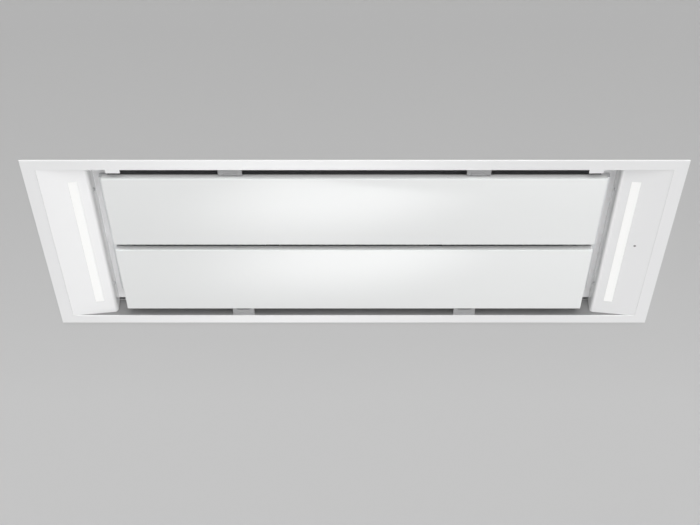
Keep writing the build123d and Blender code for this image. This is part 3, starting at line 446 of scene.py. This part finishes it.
def makeLattice(side, order):
    mesh = bmesh.new()
    bmesh.ops.create_grid(mesh, x_segments=lattice["cellsAlong"], y_segments=lattice["cellsAcross"],
                          size=0.5)
    bmesh.ops.scale(mesh, vec=(lattice["length"], lattice["depth"], 1), verts=mesh.verts)
    straight = [edge for edge in mesh.edges if not edge.is_boundary]
    bmesh.ops.poke(mesh, faces=mesh.faces)
    bmesh.ops.dissolve_edges(mesh, edges=straight)
    strands = set(bmesh.ops.inset_individual(mesh, faces=mesh.faces, thickness=lattice["strand"],
                                             use_even_offset=True)["faces"])
    holes = [face for face in mesh.faces if face not in strands]
    bmesh.ops.delete(mesh, geom=holes, context="FACES")
    pleat = lattice["length"] / lattice["folds"]
    for vert in mesh.verts:
        turn = (vert.co.x / pleat) % 2
        vert.co.z = lattice["low"] + (lattice["high"] - lattice["low"]) * abs(1 - turn)
    bmesh.ops.translate(mesh, vec=(order * lattice["pitch"], 0, 0), verts=mesh.verts)
    bmesh.ops.recalc_face_normals(mesh, faces=mesh.faces)
    bmesh.ops.solidify(mesh, geom=mesh.faces, thickness=lattice["sheet"])
    name = side + "_filter_mesh"
    standFor(addMesh(name + "_lattice", mesh, "filter"), name)


for side, order in (("left", -1), ("middle", 0), ("right", 1)):
    makeLattice(side, order)
    easedCopy(side + "_filter_frame", filterFrame["ease"], "filter")
    easedCopy(side + "_filter_latch", filterFrame["latchEase"], "latch", filterFrame["latchSteps"])
print("filters made")


# screws: pan heads with a cross recess, each turned a little differently, in radians

screw = {"headRadius": 0.0035, "headHeight": 0.002, "headRound": 0.0011, "roundSteps": 4,
         "shankRadius": 0.0018, "shankLength": 0.008, "recessReach": 0.0022, "recessWidth": 0.0009,
         "recessDepth": 0.0013, "sides": 24}
casingScrews = {"top": 0.310, "along": (-0.510, -0.170, 0.170, 0.510), "across": 0.2213,
                "endAlong": 0.5713, "endAcross": 0.100, "collarRadius": 0.082, "collarTop": 0.3112,
                "turn": 0.7}
wallScrews = {"along": 0.483, "across": 0.145, "height": 0.023, "turn": 0.4}


def addRound(mesh, radius, length, middle):  # a closed cylinder, its middle at this height
    verts = bmesh.ops.create_cone(mesh, cap_ends=True, segments=screw["sides"], radius1=radius,
                                  radius2=radius, depth=length)["verts"]
    bmesh.ops.translate(mesh, vec=(0, 0, middle), verts=verts)


def screwHead():
    mesh = bmesh.new()
    height = screw["headHeight"]
    addRound(mesh, screw["headRadius"], height, height / 2)
    crown = [edge for edge in mesh.edges if min(vert.co.z for vert in edge.verts) > height / 2]
    roundEdges(mesh, crown, screw["headRound"], screw["roundSteps"])
    return addMesh("screw_head", mesh)


def screwRecess():
    mesh = bmesh.new()
    size = (2 * screw["recessReach"], screw["recessWidth"], 2 * screw["recessDepth"])
    for turn in (0, 90):
        bar = bmesh.ops.create_cube(mesh, size=1)["verts"]
        across = Matrix.Rotation(math.radians(turn), 3, "Z")
        bmesh.ops.scale(mesh, vec=size, verts=bar)
        bmesh.ops.rotate(mesh, cent=(0, 0, 0), matrix=across, verts=bar)
        bmesh.ops.translate(mesh, vec=(0, 0, screw["headHeight"]), verts=bar)
    return addMesh("screw_recess", mesh)


def screwMesh():
    head, recess = screwHead(), screwRecess()
    cut = head.modifiers.new("recess", "BOOLEAN")
    cut.operation, cut.object, cut.use_self = "DIFFERENCE", recess, True
    finished = head.evaluated_get(bpy.context.evaluated_depsgraph_get())
    result = bpy.data.meshes.new_from_object(finished)
    for spare in (head, recess):
        bpy.data.objects.remove(spare)
    whole = bmesh.new()
    whole.from_mesh(result)
    addRound(whole, screw["shankRadius"], screw["shankLength"], -screw["shankLength"] / 2)
    result.clear_geometry()
    whole.to_mesh(result)
    whole.free()
    return result


def makeScrews(name, places, finish):
    single = screwMesh()
    mesh = bmesh.new()
    for place in places:
        before = set(mesh.verts)
        mesh.from_mesh(single)
        added = [vert for vert in mesh.verts if vert not in before]
        bmesh.ops.transform(mesh, matrix=place, verts=added)
    standFor(addMesh(name + "_crossed", mesh, finish), name)


def casingScrewPlaces():
    signs = (-1, 1)
    rows = [(x, sign * casingScrews["across"]) for x in casingScrews["along"] for sign in signs]
    rows += [(end * casingScrews["endAlong"], sign * casingScrews["endAcross"])
             for end in signs for sign in signs]
    spots = [(x, y, casingScrews["top"]) for x, y in rows]
    reach = casingScrews["collarRadius"]
    for degrees in (45, 135, 225, 315):
        turn = math.radians(degrees)
        spots.append((reach * math.cos(turn), reach * math.sin(turn), casingScrews["collarTop"]))
    return [Matrix.Translation(spot) @ Matrix.Rotation(index * casingScrews["turn"], 4, "Z")
            for index, spot in enumerate(spots)]


def wallScrewPlaces():
    places = []
    for end in (-1, 1):
        for side in (-1, 1):
            spot = (end * wallScrews["along"], side * wallScrews["across"], wallScrews["height"])
            facing = Matrix.Rotation(math.radians(-90 * end), 4, "Y")
            turn = Matrix.Rotation(wallScrews["turn"] * side, 4, "Z")
            places.append(Matrix.Translation(spot) @ facing @ turn)
    return places


makeScrews("casing_screws", casingScrewPlaces(), "zinc")
makeScrews("recess_wall_screws", wallScrewPlaces(), "dullZinc")
print("screws made")


# the other nodes keep the CAD form, some with eased edges

eased = {
    "suspension_brackets": (0.0004, "galvanised"), "motor_bracket": (0.0004, "galvanised"),
    "panel_catches": (0.0008, "catch"), "motor": (0.0006, "casting"),
    "outlet_collar": (0.0003, "collar"), "control_box": (0.0005, "box"),
    "control_box_lid": (0.0005, "box"), "led_driver": (0.0006, "driver"),
    "terminal_block": (0.0004, "terminal"), "cable_gland": (0.0005, "nylon"),
}
for name, (width, finish) in eased.items():
    easedCopy(name, width, finish)

dress("rimCoat", "frame_rim", "left_light_plate", "right_light_plate")
dress("wallCoat", "left_recess_wall", "right_recess_wall", "filter_plate")
dress("longWallAndShade", "near_recess_wall", "far_recess_wall")
dress("railCoatAndShade", "filter_rails")
dress("cover", "left_light_diffuser", "right_light_diffuser")
dress("lampHousing", "left_lamp_housing", "right_lamp_housing")
dress("lightBoard", "left_led_strip", "right_led_strip")
dress("lens", "receiver_window")
dress("zinc", "hinge_pins", "motor_shaft", "damper_pin")
dress("galvanised", "casing_top", "casing_near_wall", "casing_far_wall", "casing_left_wall",
      "casing_right_wall")
dress("blower", "blower_scroll", "blower_left_side", "blower_right_side")
dress("impeller", "impeller")
dress("flap", "near_damper_flap", "far_damper_flap")
dress("board", "circuit_board")
print("frame dressed")


# stage: the ceiling that the hood sits in, a soft card for the sheen, and light

# the ceiling's tone, darker at the near side and lighter at the far side, is painted shade
ceiling = {"reach": 6.0, "cutLength": 1.196, "cutDepth": 0.496, "height": 0.002, "nearShade": 0.475,
           "farShade": 0.585, "shadeReach": 0.55, "roughness": 0.9, "grain": (180, 4),
           "grainDepth": 0.0001, "grainStrength": 0.5}
card = {"y": 3.0, "width": 3.0, "top": -1.2, "bottom": -3.6, "strength": 2.55,
        "centre": (0.36, 0, 2.248), "squeeze": (1.25, 0, 0.681), "fade": 1.5, "full": 0.3}
lamps = {  # where it shines from, how wide, how strong on a surface that faces it
    "floor_right": ((0.48, 0.0, -1.0), 36, 0.28),
    "floor_left": ((-0.42, 0.0, -1.0), 36, 0.13),
    "far_low": ((0.3, 1.0, -0.14), 16, 0.26),
    "near_low": ((0.0, -1.0, -0.25), 26, 0.60),
    "near_middle": ((0.1, -0.8, -0.66), 24, 0.20),
    "upper_front": ((-0.5, -0.8, 0.9), 30, 0.35),
    "upper_back": ((0.5, 0.9, 0.6), 30, 0.30),
}
sky = {"below": 0.27, "above": 0.55, "horizon": 0.1, "background": 0.86}


def eyeOrGloss(tree):  # seen by the camera or in a reflection
    path = addNode(tree, "ShaderNodeLightPath")
    return combine(tree, "MAXIMUM", path.outputs["Is Camera Ray"], path.outputs["Is Glossy Ray"])


def ceilingPaintAndShade():  # clear from above, so that the casing can be looked at
    material, tree, shader = newMaterial("ceiling_paint_and_painted_shade")
    shader.inputs["Roughness"].default_value = ceiling["roughness"]
    shader.inputs["Specular IOR Level"].default_value = 0.0
    split = addNode(tree, "ShaderNodeSeparateXYZ")
    tree.links.new(surfacePoint(tree), split.inputs["Vector"])
    # painted shade: the ceiling runs from the near shade to the far shade along Y
    tone = spread(tree, split.outputs["Y"], 0, 1, -ceiling["shadeReach"], ceiling["shadeReach"])
    near, far = (ceiling["nearShade"],) * 3, (ceiling["farShade"],) * 3
    tree.links.new(blendColors(tree, tone, near, far), shader.inputs["Base Color"])
    grain = noise(tree, *ceiling["grain"])
    addBump(tree, shader, grain, ceiling["grainDepth"], ceiling["grainStrength"])
    clear = addNode(tree, "ShaderNodeBsdfTransparent")
    side = addNode(tree, "ShaderNodeNewGeometry")
    mix = addNode(tree, "ShaderNodeMixShader")
    hidden = combine(tree, "MULTIPLY", side.outputs["Backfacing"], eyeOrGloss(tree))
    tree.links.new(hidden, mix.inputs["Fac"])
    tree.links.new(shader.outputs["BSDF"], mix.inputs[1])
    tree.links.new(clear.outputs["BSDF"], mix.inputs[2])
    tree.links.new(mix.outputs["Shader"], tree.nodes["Material Output"].inputs["Surface"])
    return material


def makeCeiling():
    mesh = bmesh.new()
    corners = ((-1, -1), (1, -1), (1, 1), (-1, 1))
    edges = []
    for width, depth in ((ceiling["reach"], ceiling["reach"]),
                         (ceiling["cutLength"] / 2, ceiling["cutDepth"] / 2)):
        loop = [mesh.verts.new((x * width, y * depth, 0)) for x, y in corners]
        edges += [mesh.edges.new((loop[i], loop[(i + 1) % 4])) for i in range(4)]
    bmesh.ops.bridge_loops(mesh, edges=edges)
    bmesh.ops.translate(mesh, vec=(0, 0, ceiling["height"]), verts=mesh.verts)
    for face in mesh.faces:
        face.normal_update()
        if face.normal.z > 0:
            face.normal_flip()
    sheet = addMesh("ceiling", mesh)
    sheet.data.materials.append(ceilingPaintAndShade())


def cardGlow():  # an oval of light that fades out, and clear beyond it
    material = bpy.data.materials.new("soft_card")
    material.use_nodes = True
    tree = material.node_tree
    place = addNode(tree, "ShaderNodeTexCoord")
    oval = addNode(tree, "ShaderNodeMapping", Location=card["centre"], Scale=card["squeeze"])
    away = addNode(tree, "ShaderNodeVectorMath", {"operation": "LENGTH"})
    tree.links.new(place.outputs["Object"], oval.inputs["Vector"])
    tree.links.new(oval.outputs["Vector"], away.inputs["Vector"])
    amount = spread(tree, away.outputs["Value"], 0, 1, card["fade"], card["full"], smooth=True)
    glow = addNode(tree, "ShaderNodeEmission")
    tree.links.new(combine(tree, "MULTIPLY", amount, card["strength"]), glow.inputs["Strength"])
    clear = addNode(tree, "ShaderNodeBsdfTransparent")
    both = addNode(tree, "ShaderNodeAddShader")
    tree.links.new(glow.outputs["Emission"], both.inputs[0])
    tree.links.new(clear.outputs["BSDF"], both.inputs[1])
    tree.links.new(both.outputs["Shader"], tree.nodes["Material Output"].inputs["Surface"])
    return material


def makeCard():
    mesh = bmesh.new()
    upright = Matrix.Rotation(math.radians(90), 3, "X")
    height, middle = card["top"] - card["bottom"], (card["top"] + card["bottom"]) / 2
    bmesh.ops.create_grid(mesh, x_segments=1, y_segments=1, size=0.5)
    bmesh.ops.scale(mesh, vec=(card["width"], height, 1), verts=mesh.verts)
    bmesh.ops.rotate(mesh, cent=(0, 0, 0), matrix=upright, verts=mesh.verts)
    bmesh.ops.translate(mesh, vec=(0, card["y"], middle), verts=mesh.verts)
    sheet = addMesh("soft_card", mesh)
    sheet.data.materials.append(cardGlow())
    sheet.visible_camera = sheet.visible_diffuse = sheet.visible_shadow = False


def makeLamps():
    for name, (source, width, level) in lamps.items():
        data = bpy.data.lights.new(name, "SUN")
        data.angle, data.energy = math.radians(width), level * math.pi
        lamp = bpy.data.objects.new(name, data)
        lamp.location = source
        lamp.rotation_euler = lamp.location.to_track_quat("Z", "Y").to_euler()
        scene.collection.objects.link(lamp)


def makeWorld():
    world = bpy.data.worlds.new("soft_world")
    scene.world = world
    world.use_nodes = True
    tree = world.node_tree
    background = tree.nodes["Background"]
    background.inputs["Color"].default_value = (1, 1, 1, 1)
    direction = addNode(tree, "ShaderNodeTexCoord")
    split = addNode(tree, "ShaderNodeSeparateXYZ")
    tree.links.new(direction.outputs["Generated"], split.inputs["Vector"])
    light = spread(tree, split.outputs["Z"], sky["below"], sky["above"],
                   -sky["horizon"], sky["horizon"])
    mix = addNode(tree, "ShaderNodeMix")
    tree.links.new(eyeOrGloss(tree), mix.inputs["Factor"])
    tree.links.new(light, mix.inputs["A"])
    mix.inputs["B"].default_value = sky["background"]
    tree.links.new(mix.outputs["Result"], background.inputs["Strength"])
    scene.view_settings.view_transform = "Standard"


makeCamera()
makeCeiling()
makeCard()
makeLamps()
makeWorld()
print("camera, stage and light ready")
